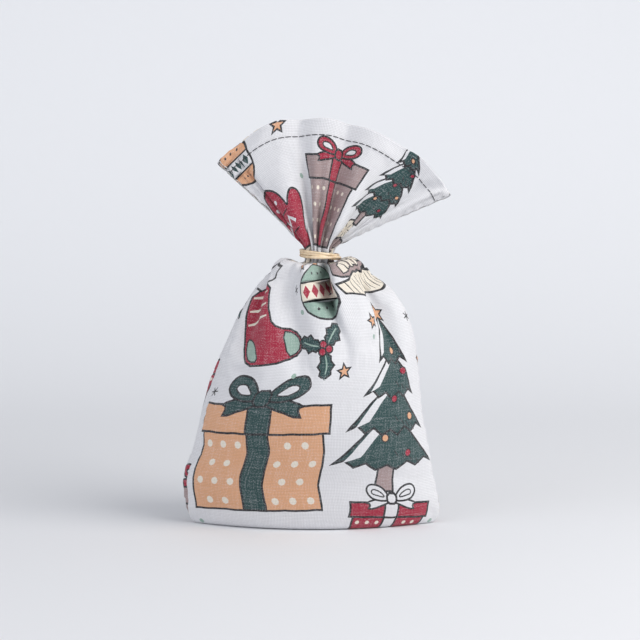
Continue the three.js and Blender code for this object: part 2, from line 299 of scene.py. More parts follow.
def collar_point(side, u, r):
    """The cloth above the neck, r from the middle of the band."""
    reach_all, lean = in_mm(settings().cloth, "collar", "lean")
    wave, reach = main_fold(u)
    wave = wave + 1.8 * hump(u, SUNKEN_FOLD, 0.06) * hump(r, 4, 15)
    point = body_point(side, u, np.ones_like(r))
    angle = FAN_DIRECTIONS[0] + (FAN_DIRECTIONS[1] - FAN_DIRECTIONS[0]) * u
    apart = 1.1 + 2.4 * np.sqrt(np.abs(np.sin(math.pi * u)))  # half of the open mouth
    share = np.clip((r - NECK_CLEARANCE) / (reach_all - NECK_CLEARANCE), 0, None)
    hem = np.stack([
        lean + reach * reach_all * np.cos(angle),
        side * apart + wave * FAN_FOLD,
        NECK_HEIGHT + reach * reach_all * np.sin(angle),
    ], -1)
    point[..., 2] = NECK_HEIGHT + np.minimum(r, NECK_CLEARANCE)
    point = point + (hem - point) * share[..., None]
    middle = hump(r, 18, 20)
    fine = pleats(u, side) * (FAN_PLEAT * hump(r, 0, FAN_PLEAT_RUN) + FAN_RIPPLE * middle)
    point[..., 1] += (wave * FAN_FOLD * middle * np.clip(share * 6, 0, 1)
                      + side * fine * np.clip(share * 8, 0, 1))
    return point


def run_length(points):
    """How far each point lies along a line."""
    return np.concatenate([[0], np.cumsum(np.linalg.norm(np.diff(points, axis=0), axis=1))])


def gathered_net():
    """The cloth's net by panel, row and column, and each row's height on the flat cloth."""
    width, body, collar = in_mm(settings().cloth, "width", "body", "collar")
    # The body's rows are spaced evenly along the cloth, halfway between its middle and its seam
    t = np.linspace(0, 1, 801)
    runs = [run_length(body_point(-1, np.full_like(t, u), t)) for u in (0.47, 0)]
    climb = sum(run / run[-1] for run in runs) / len(runs)
    body_rows, collar_rows = round(body / CLOTH_STEP), round(collar / CLOTH_STEP)
    rows = [(body_point, v) for v in np.interp(np.linspace(0, 1, body_rows + 1), climb, t)]
    rows += [(collar_point, v) for v in np.linspace(0, collar, collar_rows + 1)[1:]]
    heights = np.concatenate([
        np.linspace(0, body, body_rows + 1), body + np.linspace(0, collar, collar_rows + 1)[1:]])
    fine_u = np.linspace(0, 1, 601)
    even = np.linspace(0, 1, round(width / CLOTH_STEP) + 1)
    net = np.zeros((2, len(rows), len(even), 3))
    for k, side in enumerate((-1, 1)):
        for i, (surface, v) in enumerate(rows):
            run = run_length(surface(side, fine_u, np.full_like(fine_u, v)))
            net[k, i] = surface(side, np.interp(even, run / run[-1], fine_u), np.full_like(even, v))
    return net, heights


def with_spare_cloth(net, heights):
    """The same net with as much more cloth across each row as it really has, up to a limit."""
    width, body, lean = in_mm(settings().cloth, "width", "body", "lean")
    wide = net.copy()
    rows = np.linalg.norm(np.diff(net, axis=2), axis=3).sum(2).mean(0)
    for i, y in enumerate(heights):
        row = net[:, i]
        if y <= body:
            most = 1.03 + 0.12 * smooth(y, 78, 118)
            more = min(width / rows[i], most) - 1
            more *= smooth(body - y, 3, 14) * smooth(y, 16, 34)
            middle = row.reshape(-1, 3).mean(0)[:2]
            wide[:, i, :, :2] = middle + (row[..., :2] - middle) * (1 + more)
        else:
            more = (min(width / rows[i], 1.07) - 1) * smooth(y - body, 3, 12)
            x, z = row[..., 0] - lean, row[..., 2] - NECK_HEIGHT
            middle = FAN_DIRECTIONS.mean()
            angle = middle + (np.arctan2(z, x) - middle) * (1 + more)
            wide[:, i, :, 0] = lean + np.hypot(x, z) * np.cos(angle)
            wide[:, i, :, 2] = NECK_HEIGHT + np.hypot(x, z) * np.sin(angle)
    return wide


def settled(net, heights):
    """Lets the cloth's spare width buckle into folds of its own, by a short cloth simulation at
    ten times life size. The neck and the base hold still, and the rest keeps loosely to its
    place."""
    scale, gathered_at, frames = 10 * MM, 8, 26
    width, body = in_mm(settings().cloth, "width", "body")
    top = heights[-1]
    rows, columns = net.shape[1:3]
    # The two panels share the points of their side seams and of the bottom seam
    index = np.zeros((2, rows, columns), int)
    index[:] = np.arange(rows * columns).reshape(rows, columns)
    inner = np.arange((rows - 1) * (columns - 2)).reshape(rows - 1, columns - 2)
    index[1, 1:, 1:-1] = rows * columns + inner
    count = index.max() + 1
    x, y = np.meshgrid(np.linspace(0, width, columns), heights)
    edge = np.minimum(x, width - x)
    keep, fill = np.zeros(count), np.zeros(count)
    start, end = np.zeros((count, 3)), np.zeros((count, 3))
    wide = with_spare_cloth(net, heights)
    for k in (1, 0):
        z = net[k, :, :, 2]
        # How firmly each place is held: loosely in the bag and the fan, more beside the seams
        # and at the hem, and fast at the neck and on the base
        bag = 0.02 + 0.25 * (1 - smooth(edge, 0, 7))
        fan = 0.01 + 0.4 * (1 - smooth(edge, 0, 6)) + 0.1 * smooth(y, top - 7, top - 1)
        fan += 0.6 * hump(edge, 0, 7) * smooth(y, top - 22, top - 8)
        hold = np.where(y > body, fan, bag)
        hold = np.maximum(hold, np.exp(-(((y - body) / 3.2) ** 4)))
        numbers = index[k].ravel()
        keep[numbers] = np.where(z < 0.4, 1, np.minimum(hold, 1)).ravel()
        fill[numbers] = np.where(y > body, 0, smooth(NECK_HEIGHT - z, 12, 60)).ravel()
        start[numbers], end[numbers] = wide[k].reshape(-1, 3), net[k].reshape(-1, 3)
    corners = [np.stack([m[:-1, :-1], m[:-1, 1:], m[1:, 1:], m[1:, :-1]], -1).reshape(-1, 4)
               for m in index]
    mesh = bpy.data.meshes.new("settling cloth")
    faces = np.concatenate([corners[0], corners[1][:, ::-1]])
    mesh.from_pydata((start * scale).tolist(), [], faces.tolist())
    sack = bpy.data.objects.new("settling cloth", mesh)
    scene = bpy.context.scene
    scene.collection.objects.link(sack)
    sack.shape_key_add(name="Basis")
    key = sack.shape_key_add(name="gathered")
    key.data.foreach_set("co", (end * scale).ravel())
    for number, value in ((1, 0), (gathered_at, 1)):
        key.value = value
        key.keyframe_insert("value", frame=number)
    for name, weights in (("keep", keep), ("fill", fill)):
        group = sack.vertex_groups.new(name=name)
        for i, weight in enumerate(weights):
            group.add([i], float(weight), "REPLACE")
    modifier = sack.modifiers.new("cotton", "CLOTH")
    cotton = modifier.settings
    cotton.quality = 6
    cotton.mass = 0.08
    cotton.tension_stiffness = cotton.compression_stiffness = 60
    cotton.shear_stiffness = 3
    cotton.bending_stiffness = 0.02
    cotton.tension_damping = cotton.compression_damping = cotton.shear_damping = 8
    cotton.air_damping = 1.5
    cotton.vertex_group_mass = "keep"
    cotton.pin_stiffness = 4
    cotton.use_pressure = True
    cotton.uniform_pressure_force = 0.5
    cotton.vertex_group_pressure = "fill"
    cotton.effector_weights.gravity = 0.05
    modifier.collision_settings.use_collision = False
    modifier.point_cache.frame_end = frames
    for number in range(1, frames + 1):
        scene.frame_set(number)
    shape = sack.evaluated_get(bpy.context.evaluated_depsgraph_get()).data
    found = np.zeros(count * 3)
    shape.vertices.foreach_get("co", found)
    bpy.data.objects.remove(sack)
    scene.frame_set(1)
    return (found.reshape(-1, 3) / scale)[index]


def front_fold(net):
    """The deep fold in the front that runs down from the band, with a lip on each side. It falls
    away slowly from the left, and the right lip leans over it."""
    x, z = net[0, ..., 0], net[0, ..., 2]
    below = z < NECK_HEIGHT
    down = 110 - z
    middle = 4.2 + 0.2 * down
    reach = np.where(x < middle, 5.4 - 0.08 * down.clip(0, 20), 2.5)
    deep = 12 * smooth(z, 85, 102) * hump(x, middle, reach)
    deep *= below * (1 - 0.85 * smooth(z, 107.5, 112))
    right = 3.8 * smooth(z, 76, 96) * hump(x, 8.6 + 0.17 * down, 2.6)
    left = 2.4 * smooth(z, 84, 100) * hump(x, -3 - 0.35 * down, 3.0)
    lips = below * (1 - 0.8 * smooth(z, 106, 111.4))
    net[0, ..., 0] -= 0.65 * right * lips
    net[0, ..., 1] += deep - (right + left) * lips


@functools.cache
def finished_net():
    """The settled net, made once, and the rows' heights."""
    net, heights = gathered_net()
    net = settled(net, heights)
    front_fold(net)
    net[..., 2] = np.maximum(net[..., 2], 0.25)
    return net, heights


def spline_share(f):
    """Weights of the four net points round a place, on an even cubic spline."""
    return np.stack([(1 - f) ** 3, 3 * f**3 - 6 * f**2 + 4,
                     -3 * f**3 + 3 * f**2 + 3 * f + 1, f**3]) / 6


def net_point(side, x, y):
    """The middle of the cloth at a place of the flat panel."""
    net, heights = finished_net()
    panel = net[0 if side < 0 else 1]
    rows, columns = panel.shape[:2]
    at_row = np.interp(y, heights, np.arange(rows))
    at_column = np.asarray(x) / (settings().cloth.width / MM) * (columns - 1)
    i = np.clip(at_row.astype(int), 0, rows - 2)
    j = np.clip(at_column.astype(int), 0, columns - 2)
    wide = np.pad(panel, ((1, 1), (1, 1), (0, 0)), "reflect", reflect_type="odd")
    by_row, by_column = spline_share(at_row - i), spline_share(at_column - j)
    total = np.zeros(np.shape(at_row) + (3,))
    for a, b in itertools.product(range(4), range(4)):
        total += (by_row[a] * by_column[b])[..., None] * wide[i + a, j + b]
    return total


def slopes_of(surface, side, x, y, step):
    """How a surface runs on across and upwards at a place of the flat panel."""
    left = np.maximum(x - step, 0)
    right = np.minimum(x + step, settings().cloth.width / MM)
    low, high = np.maximum(y - step, 0), np.minimum(y + step, finished_net()[1][-1])
    return (surface(side, right, y) - surface(side, left, y),
            surface(side, x, high) - surface(side, x, low))


def detailed_point(side, x, y):
    """The same with what the net is too coarse for: the groove and puckers of the side seams."""
    across, rise = slopes_of(net_point, side, x, y, 0.4)
    facing = unit(np.cross(across, rise)) * -side
    edge = np.minimum(x, settings().cloth.width / MM - x)
    pucker = 0.22 * np.sin(y * 1.13 + 1.3 * np.sin(y * 0.31)) * hump(edge, 1.5, 3.0)
    groove = -0.55 * hump(edge, 0, 0.75)
    return net_point(side, x, y) + facing * ((pucker + groove) * smooth(y, 12, 25))[..., None]


def cloth_frame(side, x, y):
    """Places, facings and upward directions of the cloth, the turned-in hem included."""
    x, y = np.broadcast_arrays(np.asarray(x, float), np.asarray(y, float))
    body, collar, room = in_mm(settings().cloth, "body", "collar", "hem_room")
    fold = room / 2
    top = body + collar - fold
    past = np.maximum(y - top, 0)
    turn = np.minimum(past / fold, math.pi)
    under = np.maximum(past - math.pi * fold, 0)
    base = np.minimum(y, top) - under
    across, rise = slopes_of(detailed_point, side, x, base, 0.2)
    rise = unit(rise)
    normal = unit(np.cross(across, rise)) * -side
    sine, cosine = np.sin(turn)[..., None], np.cos(turn)[..., None]
    point = detailed_point(side, x, base) + rise * fold * sine + normal * fold * (cosine - 1)
    return point, normal * cosine + rise * sine, rise


# The print: outlined winter things, drawn flat in millimetres

OUTLINE, THIN, HAIR = 0.95, 0.7, 0.55  # widths of drawn lines
DRAWN_STEP = 2.2  # between the corners of a drawn outline
WAVER = 0.18  # how far a hand's line wavers


def area(points):
    x, y = points.T
    return (x * np.roll(y, -1) - y * np.roll(x, -1)).sum() / 2


def outward(points):
    """The outward direction at each corner of a closed outline."""
    steps = np.roll(points, -1, 0) - points, points - np.roll(points, 1, 0)
    ahead, behind = (unit(np.stack([v[:, 1], -v[:, 0]], 1)) for v in steps)
    mean = unit(ahead + behind, 1e-6)
    lean = np.maximum((mean * ahead).sum(1), 0.5)[:, None]
    return mean / lean * math.copysign(1, area(points))


def bent(points, amount, seed):
    """A closed outline in short steps, with a hand's small waver."""
    out = []
    for a, b in zip(points, np.roll(points, -1, 0)):
        count = max(1, int(round(np.hypot(*(b - a)) / DRAWN_STEP)))
        out += [a + (b - a) * k / count for k in range(count)]
    out = np.array(out)
    run = np.cumsum(np.hypot(*(np.roll(out, -1, 0) - out).T))
    turns = 2 * math.pi * run / run[-1]
    rng = np.random.default_rng(seed)
    waves = sum(
        np.sin(turns * max(1, round(run[-1] / period)) + rng.uniform(0, 6.28)) * share
        for period, share in ((14, 0.6), (6.5, 0.4))
    )
    return out + outward(out) * (waves * amount)[:, None]


def rounded(points, times):
    """Cuts the corners of a closed outline."""
    for _ in range(times):
        ahead = np.roll(points, -1, 0)
        cut = [points * 0.75 + ahead * 0.25, points * 0.25 + ahead * 0.75]
        points = np.stack(cut, 1).reshape(-1, 2)
    return points


def turned(points, turn):
    c, s = math.cos(turn), math.sin(turn)
    return points @ np.array([(c, s), (-s, c)])


def box(left, low, right, high):
    return np.array([(left, low), (right, low), (right, high), (left, high)], float)


def oval(x, y, rx, ry=None, steps=18):
    a = np.linspace(0, 2 * math.pi, steps, endpoint=False)
    return np.stack([rx * np.cos(a), (ry or rx) * np.sin(a)], 1) + (x, y)


def star_outline(reach, dent):
    """The ten corners of a star, by the reach of its points and of the corners between them."""
    turn = np.arange(10) * math.pi / 5
    far = np.where(np.arange(10) % 2, dent, reach)
    return np.stack([far * np.sin(turn), far * np.cos(turn)], 1)


def sideways(path):
    """The direction to the left of a line, at each of its points."""
    ahead = unit(np.gradient(path, axis=0))
    return np.stack([-ahead[:, 1], ahead[:, 0]], 1)


def strip(path, width, taper=0.6):
    """A drawn line, a little thinner at its ends."""
    t = np.linspace(-1, 1, len(path))
    half = sideways(path) * (width / 2 * (1 - (1 - taper) * t**4))[:, None]
    return np.concatenate([path + half, (path - half)[::-1]])


class Motif(list):
    """A drawn thing: its inked outlines, from the lowest ink to the topmost."""

    def __init__(self, scale, seed):
        super().__init__()
        self.scale, self.seed = scale, seed

    def spot(self, ink, points, waver, seed=0):
        """A form without an outline."""
        points = np.asarray(points, float) * self.scale
        self.append((ink, bent(points, waver, self.seed + seed)))

    def form(self, ink, points, cuts=0, seed=0, waver=WAVER, line=OUTLINE):
        """A form with a charcoal outline. Its corners are cut as many times as cuts says."""
        points = rounded(np.asarray(points, float) * self.scale, cuts)
        points = bent(points, waver, self.seed + seed)
        for tint, grow in (("charcoal", line / 2), (ink, -line / 2)):
            self.append((tint, points + outward(points) * grow))

    def line(self, ink, start, end, width, sag=0.0, steps=4):
        t = np.linspace(0, 1, steps + 1)[:, None]
        start, end = np.array(start) * self.scale, np.array(end) * self.scale
        aside = np.array([-(end - start)[1], (end - start)[0]])
        bow = aside * sag * (4 * t * (1 - t))
        self.append((ink, strip(start + (end - start) * t + bow, width)))

    def zigzag(self, ink, left, right, y, height, count, width):
        k = np.arange(count + 1)
        up = y + np.where(k % 2, height, -height)
        path = np.stack([left + (right - left) * k / count, up], 1)
        self.append((ink, strip(path * self.scale, width * self.scale, 1)))

    def ribs(self, left, right, low, high, count, sag):
        """The upright lines of a knitted cuff."""
        for k in range(1, count):
            x = left + (right - left) * k / count
            self.line("charcoal", (x, low), (x, high), 0.65, sag, 3)


def parcel(w, h, paper, ribbon, spots, seed=1):
    """Drawn with its width as 1: spotted paper, a ribbon, a lid and a bow."""
    out = Motif(w, seed)
    tall = h / w
    out.form(paper, box(-0.5, 0, 0.5, tall * 0.8))
    number = 0
    for row, column in itertools.product(range(1, 5), range(-3, 4)):
        x = (column + (0.25 if row % 2 else -0.25)) / 7.6
        if 0.145 < abs(x) < 0.44:
            y = tall * 0.8 * (row - 0.5) / 4.4
            out.spot(spots, oval(x, y, 0.028, steps=8), 0.06, number)
            number += 1
    out.form(ribbon, box(-0.085, 0, 0.085, tall * 0.8), seed=1)
    out.form(paper, box(-0.55, tall * 0.74, 0.55, tall), seed=2)
    out.form(ribbon, box(-0.095, tall * 0.74, 0.095, tall), seed=3)
    line = min(OUTLINE, w * 0.024)
    tail = [(0, 1 / w), (0.1, -0.02), (0.33, -0.1), (0.29, -0.02), (0.36, 0), (0.12, 0.07)]
    loop = [(0, 0.03), (0.12, 0.2), (0.3, 0.25), (0.36, 0.14), (0.24, 0.03)]
    inside = [(0.08, 0.06), (0.16, 0.15), (0.27, 0.17), (0.26, 0.1)]
    for side in (-1, 1):
        tail_at, loop_at, inside_at = (
            np.array(part) * (side, 1) + (0, tall) for part in (tail, loop, inside))
        out.form(ribbon, tail_at, 1, 4, line=line)
        out.form(ribbon, loop_at, 2, 5, line=line)
        out.form("white", inside_at, 2, 6, 0.4 * line, 0.7 * line)
    out.form(ribbon, box(-0.065, tall - 0.01, 0.065, tall + 0.12), 1, 7)
    return out


def fir(h, seed=20):
    """Drawn with its height as 1: a trunk, four tiers with snow and needles, baubles, a star."""
    out = Motif(h, seed)
    out.form("taupe", box(-0.05, 0, 0.05, 0.18))
    for tier, teeth in enumerate((5, 5, 4, 3)):
        low = 0.12 + 0.2 * tier
        top = low + 0.36 - 0.025 * tier
        rise = top - low
        half = 0.33 * (1 - 0.22 * tier)
        base = np.linspace(-half, half, 2 * teeth + 1)
        jags = low + 0.035 * (np.arange(len(base)) % 2) + np.abs(base) * 0.12
        out.form("green", [(0, top), *zip(base, jags)], seed=tier, waver=0.12)
        snow = [(0, top - 0.012)]
        snow += [(-half * f * 0.82, top - rise * f * 0.86 + notch / h)
                 for f, notch in ((0.35, 0), (0.7, 0.8), (1, 0))]
        snow += [(-half * f, low + rise * g) for f, g in ((0.52, 0.24), (0.3, 0.5), (0.06, 0.74))]
        out.spot("white", snow, 0.1, 9 + tier)
        for k in range(teeth - 1):
            x = half * (0.1 + 0.5 * k / max(1, teeth - 2))
            y = low + rise * (0.3 - 0.05 * k) + 0.8 / h
            out.line("charcoal", (x, y), (x + 0.03, y - 0.035), HAIR, steps=2)
    for x, y, ink in ((0.13, 0.22, "red"), (-0.03, 0.31, "peach"), (0.15, 0.42, "peach"),
                      (0.02, 0.52, "red"), (0.08, 0.68, "red"), (0.02, 0.8, "peach")):
        out.form(ink, oval(x, y, 0.022, steps=9), waver=0.05, line=HAIR)
    out.form("peach", star_outline(0.055, 0.024) + (0, 1.02), waver=0.04, line=THIN)
    return out


def mitten(k, hand="red", cuff="cream", mark="white", seed=40):
    out = Motif(k, seed)
    out.form(hand, [
        (-9, 9), (-10.5, 19), (-10, 29), (-6.5, 36), (0, 38.5), (6.5, 36), (9.6, 29), (9.6, 25),
        (12, 28), (15.5, 29.5), (18.5, 27.5), (18.2, 23.5), (14.5, 18), (9.5, 13), (9, 9)], 2)
    out.zigzag(mark, -9.4, 9.0, 20.6, 1.5, 8, 1.5)
    for y in (16.6, 24.6):
        out.line("charcoal", (-9.2, y), (8.6, y), 0.6)
    for x in (-5, 0, 5):
        out.spot(mark, oval(x, 30, 0.9, steps=8), 0.05)
    out.form(cuff, box(-11, 0, 10.4, 9.5), 1, 1)
    out.ribs(-11, 10.4, 1.4, 8.2, 7, 0.03)
    return out


def bauble(r, ink="sage", band="cream", mark="red", seed=60):
    """Drawn with its radius as 1."""
    out = Motif(r, seed)
    out.line("charcoal", (0, 1.1), (0, 1.9), THIN, 0.06)
    out.form("peach", box(-0.2, 0.92, 0.2, 1.2))
    out.form(ink, oval(0, 0, 1, steps=26), seed=1)
    inside = r - OUTLINE / 2
    for tint, high in (("charcoal", 0.36 * r), (band, 0.36 * r - THIN)):
        a = math.asin(high / inside) * np.linspace(-1, 1, 8)
        right = inside * np.stack([np.cos(a), np.sin(a)], 1)
        out.append((tint, np.concatenate([right, (right * (-1, 1))[::-1]])))
    diamond = np.array([(0, -0.24), (0.15, 0), (0, 0.24), (-0.15, 0)])
    for k in range(-2, 3):
        out.append((mark, (diamond + (k * 0.36, 0)) * r))
    for y, x in itertools.product((-0.62, 0.62), (-0.34, 0, 0.34)):
        out.spot("charcoal", oval(x, y, 0.055, steps=7), 0.03)
    return out


def hat(k, seed=80):
    out = Motif(k, seed)
    out.form("cream", oval(0, 37, 5.2, steps=16), waver=0.5)
    for turn in np.arange(7) * 0.9:
        way = np.array((math.cos(turn), math.sin(turn)))
        out.line("charcoal", way * 1.4 + (0, 37), way * 3.6 + (0, 37), HAIR, steps=2)
    out.form("taupe", [(-19, 8), (-20, 15), (-17, 24), (-11, 30), (-4, 33), (4, 33), (11, 30),
                       (17, 24), (20, 15), (19, 8)], 2, 1)
    for y, half, count in ((12.5, 15.6, 6), (18.2, 14.2, 6), (23.9, 10.6, 4)):
        for i in range(count):
            x = -half + 2 * half * (i + 0.5) / count
            for ink, s in (("charcoal", 2.4), ("cream", 1.85)):
                out.spot(ink, box(x - s, y - s, x + s, y + s), 0.06, i)
    out.form("cream", box(-21.5, 0, 21.5, 8.5), 1, 2)
    out.ribs(-21.5, 21.5, 1.3, 7.3, 12, 0.04)
    return out


def mug(k, ink="green", seed=100):
    out = Motif(k, seed)
    out.form(ink, [(9, 5), (17, 5), (19.5, 9), (19.5, 14), (17, 18), (9, 18)], 2)
    out.form("white", [(8, 8.6), (14.6, 8.6), (16, 10.5), (16, 13), (14.6, 14.6), (8, 14.6)], 2, 1)
    out.form(ink, [(-10, 0), (10, 0), (11.5, 11), (11.8, 22), (-11.8, 22), (-11.5, 11)], 1, 2)
    out.form("taupe", oval(0, 22, 11.6, 2.6, steps=20), seed=3, waver=0.1)
    out.zigzag("cream", -10.6, 10.6, 11.5, 1.7, 10, 1.3)
    for y in (7.2, 15.8):
        out.line("cream", (-10.4, y), (10.4, y), 0.8 * k)
    t = np.linspace(0, 1, 9)
    for x in (-4.5, 0.5, 5.5):
        steam = np.stack([x + 1.3 * np.sin(t * 6.3), 26 + 9 * t], 1)
        out.append(("charcoal", strip(steam * k, 0.75)))
    return out


def holly(k, seed=120):
    out = Motif(k, seed)
    for turn in (0.5, 2.5, 4.4):
        leaf = []
        for side, i in itertools.product((1, -1), range(7)):
            f = i / 6 if side == 1 else 1 - i / 6
            spine = (0.9 if i % 2 else -0.5) * (0 < f < 1)
            leaf.append((2 + 13 * f, side * (3.6 * math.sin(math.pi * f) ** 0.8 + spine)))
        out.form("green", turned(np.array(leaf), turn), waver=0.05, line=0.8)
        way = np.array((math.cos(turn), math.sin(turn)))
        out.line("sage", way * 3.5, way * 12.5, THIN, 0.04)
    for x, y in ((0, 1.8), (-1.9, -1.2), (1.9, -1.3)):
        out.form("red", oval(x, y, 2.0, steps=12), waver=0.05, line=THIN)
    return out


def stocking(k, seed=140):
    out = Motif(k, seed)
    out.form("red", [(-8, 32), (-8.5, 14), (-8, 6), (-5, 1), (2, -1), (12, -1.5), (18, 0),
                     (20.5, 4.5), (18, 9), (11, 11), (8.5, 15), (8.5, 32)], 1)
    toe = [(12.5, -0.4), (17.5, 0.7), (19.4, 4.5), (17.4, 8), (12.5, 9.5)]
    heel = [(-7.2, 12), (-6.8, 6.5), (-4, 1.9), (0, 1), (-0.5, 6), (-3.4, 10.5)]
    for number, patch in ((1, toe), (2, heel)):
        out.form("sage", patch, 1, number, 0.05, THIN)
    for y in (17, 22, 27):
        out.line("cream", (-7.2, y), (7.4, y), 1.1 * k, 0.02)
    out.form("white", box(-10.5, 30, 10.5, 38), 1, 3, 0.4)
    return out


def cane(k, seed=160):
    """A striped stick with a crook."""
    run, straight, crook = np.linspace(0, 42, 25), 26, 5.2
    a = np.maximum(run - straight, 0) / crook
    path = np.stack([crook * (1 - np.cos(a)), np.minimum(run, straight) + crook * np.sin(a)], 1) * k
    out = Motif(k, seed)
    out.append(("charcoal", strip(path, 5.4 * k, 0.9)))
    out.append(("white", strip(path, 3.9 * k, 0.86)))
    aside = sideways(path) * 1.8 * k
    for i in range(1, 23, 4):
        stripe = [path[i] - aside[i], path[i + 1] - aside[i + 1],
                  path[i + 2] + aside[i + 2], path[i + 1] + aside[i + 1]]
        out.append(("red", np.array(stripe)))
    return out


def flake(r):
    out = Motif(r, 0)
    for turn in (np.arange(3) * math.pi / 3 + 0.2):
        way = np.array((math.cos(turn), math.sin(turn)))
        out.line("charcoal", -way, way, 0.75, steps=2)
    return out


def star(r):
    out = Motif(r, 3)
    out.form("peach", star_outline(1, 0.45), waver=0.05, line=0.8)
    return out


def dot(r):
    return [("sage", oval(0, 0, r, steps=9))]


TILE = (158.0, 214.0)  # the repeat

# Each motif with its values and its places in the repeat: where its foot or middle stands, and
# how far it is turned. Later ones lie over earlier ones
LAYOUT = (
    (parcel, (58, 46, "peach", "green", "cream"), [(34, 20, 0.04)]),
    (fir, (78,), [(91, 28, -0.04)]),
    (stocking, (1.2,), [(22, 84, 0.28)]),
    (bauble, (13.5,), [(59, 118, 0.08)]),
    (parcel, (34, 25, "red", "white", "cream", 11), [(92, -2, -0.08)]),
    (mug, (1.15,), [(130, 92, -0.16)]),
    (mitten, (1.15,), [(22, 134, 0.3)]),
    (hat, (1.05,), [(98, 117, 0.12)]),
    (parcel, (33, 38, "taupe", "red", "cream", 211), [(60, 146, -0.05)]),
    (fir, (46, 31), [(98, 160, 0.08)]),
    (cane, (1,), [(132, 36, 0.25)]),
    (holly, (0.9,), [(56, 92, 0.4), (132, 148, 1.1)]),
    (bauble, (10, "peach", "white", "green"), [(8, 192, 0)]),
    (mitten, (0.85, "sage", "red", "white", 240), [(132, 172, -0.3)]),
    (bauble, (9, "red", "cream", "green"), [(150, 58, 0.1)]),
    (star, (3.4,), [(66, 82, 0.2), (44, 130, 0.5), (118, 84, 0.1), (126, 20, 0.4), (32, 198, 0),
                    (84, 104, 0.3), (148, 134, 0.3)]),
    (flake, (2.4,), [(4, 70, 0), (40, 118, 0.3), (110, 104, 0.1), (38, 146, 0.6),
                     (118, 150, 0.2), (40, 206, 0.5), (122, 66, 0), (66, 8, 0.4),
                     (146, 24, 0.2)]),
    (dot, (1.2,), [(6, 12, 0), (116, 12, 0), (46, 108, 0), (84, 97, 0), (42, 80, 0),
                   (38, 176, 0), (119, 140, 0), (60, 210, 0), (78, 204, 0), (142, 82, 0),
                   (138, 8, 0)]),
)


def printed_shapes(size, shift):
    """The print's outlines that fall on a panel, from the lowest ink to the topmost."""
    shapes = []
    for draw, values, places in LAYOUT:
        motif = draw(*values)
        for (x, y, turn), i, j in itertools.product(places, range(-2, 3), range(-2, 3)):
            middle = np.array((x + i * TILE[0], y + j * TILE[1])) + shift
            for ink, outline in motif:
                moved = turned(outline, turn) + middle
                if (moved.max(0) > 0).all() and (moved.min(0) < size).all():
                    shapes.append((ink, moved))
    return shapes


# Meshes

def made_mesh(name, points, faces, material, normals=None):
    """A new piece from places in millimetres."""
    mesh = bpy.data.meshes.new(name)
    mesh.from_pydata((np.asarray(points) * MM).tolist(), [], [tuple(map(int, f)) for f in faces])
    mesh.polygons.foreach_set("use_smooth", [True] * len(mesh.polygons))
    if normals is not None:
        mesh.normals_split_custom_set_from_vertices([tuple(n) for n in normals])
    mesh.materials.append(material)
    mesh.validate()
    piece = bpy.data.objects.new(name, mesh)
    bpy.context.scene.collection.objects.link(piece)
    return piece


def add_map(mesh, name, places):
    """A UV map from each vertex's place on it."""
    corners = np.zeros(len(mesh.loops), int)
    mesh.loops.foreach_get("vertex_index", corners)
    layer = mesh.uv_layers.new(name=name)
    layer.data.foreach_set("uv", np.asarray(places)[corners].ravel())


def within(points, outline):
    """Which points lie inside a closed outline."""
    x, y = points.T[:, :, None]
    (ax, ay), (bx, by) = outline.T, np.roll(outline, -1, 0).T
    rise = np.where(by == ay, 1, by - ay)
    left_of = x < ax + (bx - ax) * (y - ay) / rise
    rising, falling = (ay <= y) & (by > y) & left_of, (by <= y) & (ay > y) & left_of
    return rising.sum(1) != falling.sum(1)


def inked_cut(width, height, shift):
    """The flat panel cut into triangles along the print's outlines, and each triangle's ink."""
    body, collar, room = in_mm(settings().cloth, "body", "collar", "hem_room")
    fold = room / 2
    top = body + collar - fold
    over = top + math.pi * fold
    # The net's steps, and closer ones beside the side seams and round the fold of the hem
    across = np.concatenate([
        np.arange(0, width + 0.1, CLOTH_STEP), [0.4, 0.8, width - 0.8, width - 0.4]])
    up = np.concatenate([
        np.arange(0, top, CLOTH_STEP), np.linspace(top, over, 6), np.linspace(over, height, 6)[1:]])
    x, y = np.meshgrid(across, up)
    points = np.stack([x.ravel(), y.ravel()], 1).tolist()
    shapes = printed_shapes((width, height), shift)
    edges = []
    for outline in (box(0, 0, width, height), *(outline for _, outline in shapes)):
        first, last = len(points), len(points) + len(outline) - 1
        points += outline.tolist()
        edges += [(k, k + 1) for k in range(first, last)] + [(last, first)]
    same, least = 1e-4, 1e-5  # points this close are one, and triangles below least are left out
    found = delaunay_2d_cdt([Vector(p) for p in points], edges, [], 0, same, False)
    flat = np.array([tuple(p) for p in found[0]])
    triangles = np.array([f for f in found[2]])
    middle = flat[triangles].mean(1)
    a, b, c = (flat[triangles[:, k]] for k in range(3))
    doubled = (b - a)[:, 0] * (c - a)[:, 1] - (b - a)[:, 1] * (c - a)[:, 0]
    kept = (middle > 0).all(1) & (middle < (width, height)).all(1) & (np.abs(doubled) > least)
    ink = np.full(len(triangles), "white", object)
    for name, outline in shapes:
        inside = (middle > outline.min(0)).all(1) & (middle < outline.max(0)).all(1)
        near = np.flatnonzero(inside & kept)
        ink[near[within(middle[near], outline)]] = name
    used, numbers = np.unique(triangles[kept], return_inverse=True)
    clockwise = doubled[kept] < 0
    triangles = numbers.reshape(-1, 3)
    triangles[clockwise] = triangles[clockwise][:, ::-1]
    return np.clip(flat[used], 0, (width, height)), triangles, ink[kept]


def border(triangles):
    """The edges that belong to one triangle only, each in its triangle's direction."""
    edges = np.concatenate([triangles[:, (k, (k + 1) % 3)] for k in range(3)])
    _, first, times = np.unique(np.sort(edges, 1), axis=0, return_index=True, return_counts=True)
    return edges[first[times == 1]]


SHOW_THROUGH = 0.3  # how much of an ink shows on the wrong side of the cloth
CLOTH_MAP = 0.26  # metres of flat cloth across the UV square
MAP_MARGIN = 4  # millimetres of it beside each face of the cloth


